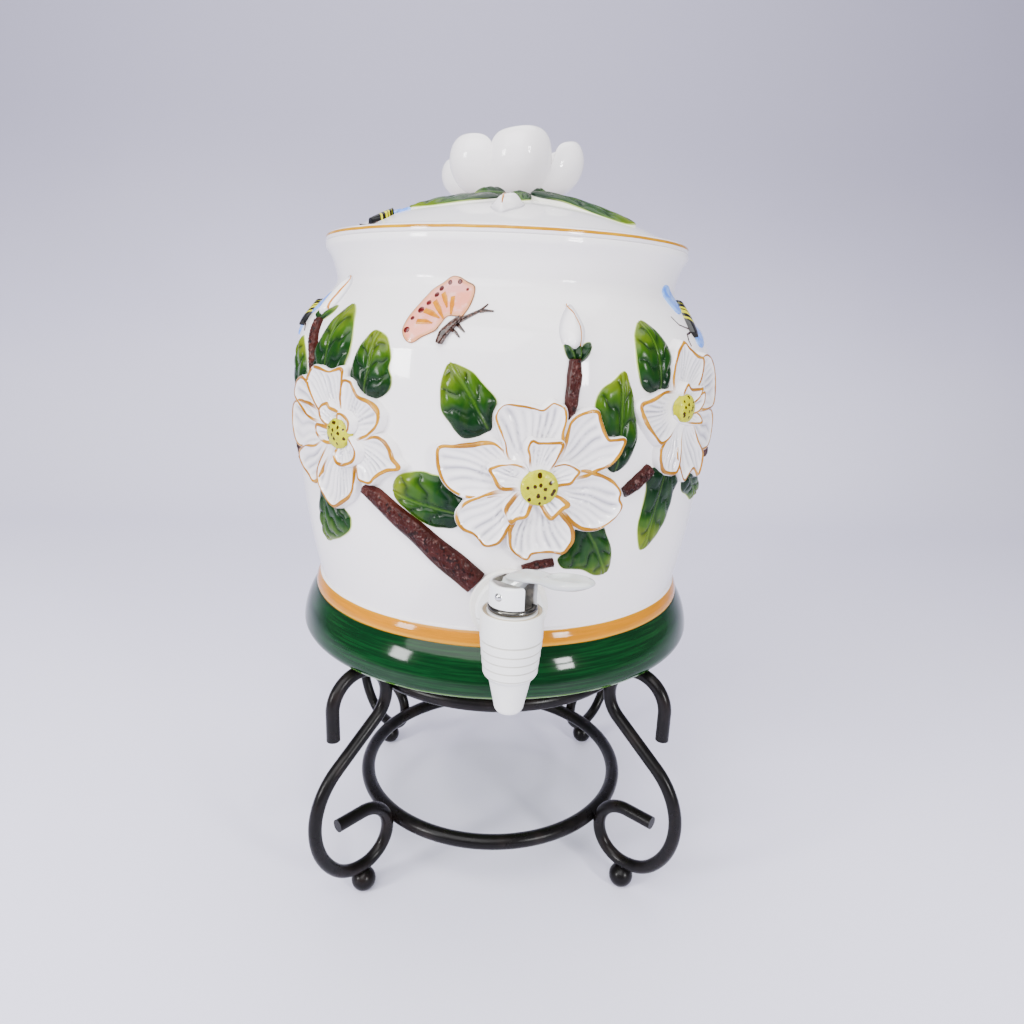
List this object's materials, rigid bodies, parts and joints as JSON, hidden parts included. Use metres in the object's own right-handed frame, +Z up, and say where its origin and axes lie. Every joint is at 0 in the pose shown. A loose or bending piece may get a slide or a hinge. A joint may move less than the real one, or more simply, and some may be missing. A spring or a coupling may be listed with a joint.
{
  "type": "drink crock with tap on a stand",
  "caption": "Glazed ceramic drink crock with relief flowers, loose domed lid, lever tap and scrolled iron wire stand.",
  "frame": {"origin": "on the floor plane, under the crock's upright axis", "axes": "+Z up, tap towards -Y, legs on the diagonals"},
  "size_m": [0.26, 0.3205, 0.4628],
  "materials": {
    "black_iron": "semi-gloss black paint on bent iron bar",
    "white_glaze": "glossy white glaze with a green flange and an amber band",
    "petal_glaze": "glossy white glaze with amber brush lines",
    "leaf_glaze": "glossy green glaze, brushed",
    "bark_glaze": "mottled brown glaze",
    "tap_plastic": "satin white moulded plastic",
    "washer_rubber": "cream rubber",
    "seal_rubber": "black rubber",
    "cream_plastic": "cream moulded plastic",
    "gloss_white": "glossy white plastic",
    "steel": "polished steel wire",
    "lever_plastic": "milky clear plastic"
  },
  "bodies": {
    "stand": {"upper_ring": "black_iron", "lower_ring": "black_iron", "leg_front_left": "black_iron", "leg_front_right": "black_iron", "leg_back_left": "black_iron", "leg_back_right": "black_iron", "foot_front_left": "black_iron", "foot_front_right": "black_iron", "foot_back_left": "black_iron", "foot_back_right": "black_iron"},
    "crock": {"crock": "white_glaze", "relief_flowers": "petal_glaze", "relief_leaves": "leaf_glaze", "relief_branches": "bark_glaze", "tap_body": "tap_plastic", "tap_outer_washer": "washer_rubber", "tap_inner_washer": "seal_rubber", "tap_nut": "tap_plastic", "tap_retainer": "cream_plastic"},
    "lid": {"lid": "white_glaze", "lid_knob": "petal_glaze", "lid_leaves": "leaf_glaze"},
    "tap_head": {"tap_bonnet": "gloss_white", "tap_ring": "steel", "tap_pin": "steel", "tap_spring": "steel"},
    "lever": {"tap_lever": "lever_plastic"},
    "valve": {"tap_stem": "gloss_white", "tap_seat": "seal_rubber"}
  },
  "joints": [
    {"name": "crock_lift", "type": "slide", "parent": "stand", "child": "crock", "axis": [0, 0, 1], "range_m": [0, 0.05]},
    {"name": "lid_lift", "type": "slide", "parent": "crock", "child": "lid", "axis": [0, 0, 1], "range_m": [0, 0.06]},
    {"name": "tap_swivel", "type": "hinge", "parent": "crock", "child": "tap_head", "pos_m": [0, -0.152, 0.225], "axis": [0, 0, 1], "range_deg": [-150, 50]},
    {"name": "lever_press", "type": "hinge", "parent": "tap_head", "child": "lever", "pos_m": [0, -0.152, 0.23303], "axis": [0.6428, 0.766, 0], "range_deg": [0, 12], "stiffness_Nm_per_rad": 0.04, "springref_deg": -51.57},
    {"name": "valve_lift", "type": "slide", "parent": "tap_head", "child": "valve", "axis": [0, 0, 1], "range_m": [0, 0.00126], "deforming": ["tap_spring"]}
  ],
  "couplings": [
    {"joint": "lever_press", "follows": "valve_lift", "rad_per_m": 166.67}
  ]
}
